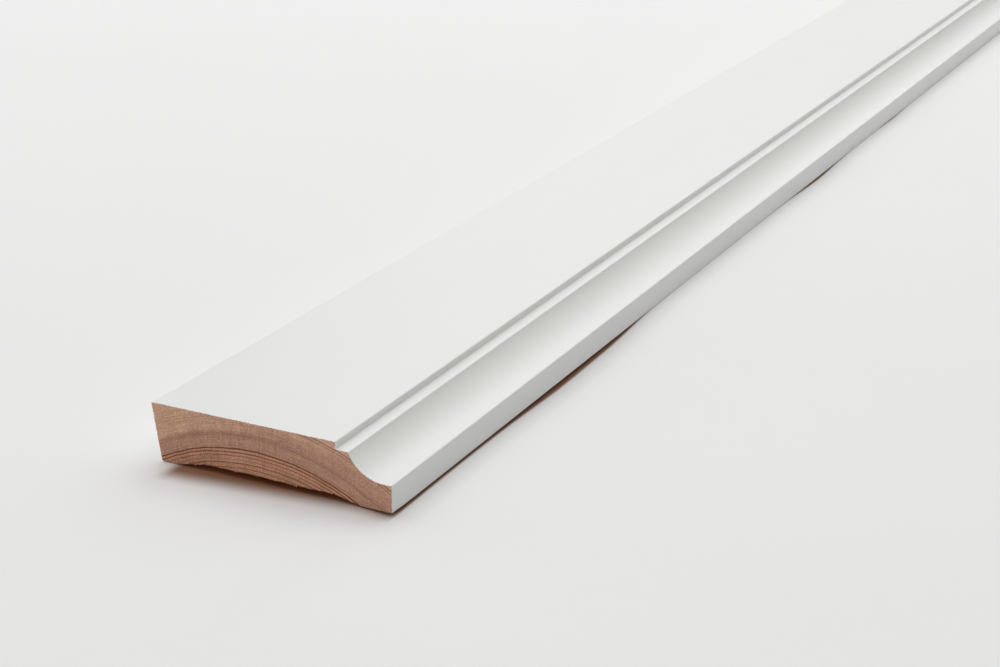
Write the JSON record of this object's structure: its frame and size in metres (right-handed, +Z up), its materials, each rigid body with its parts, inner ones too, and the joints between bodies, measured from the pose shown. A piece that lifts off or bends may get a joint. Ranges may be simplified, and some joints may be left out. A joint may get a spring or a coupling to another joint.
{
  "type": "skirting board",
  "caption": "Straight painted softwood skirting board: flat face, small step and fillet, hollow cove to a thin top lip, undercut floor edge and relieved back.",
  "frame": {"origin": "middle of the underside of the board as it lies on its back", "axes": "+Y along the length, away from the cut end that shows; +X across the board, towards the moulded top edge; +Z up, out of the face"},
  "size_m": [0.092, 1, 0.021],
  "materials": {
    "white_painted_pine": "satin white paint on the face, mouldings and both long edges; bare sawn end grain at the cut ends and bare planed wood on the back"
  },
  "bodies": {
    "root": {"skirting_board": "white_painted_pine"}
  },
  "joints": []
}
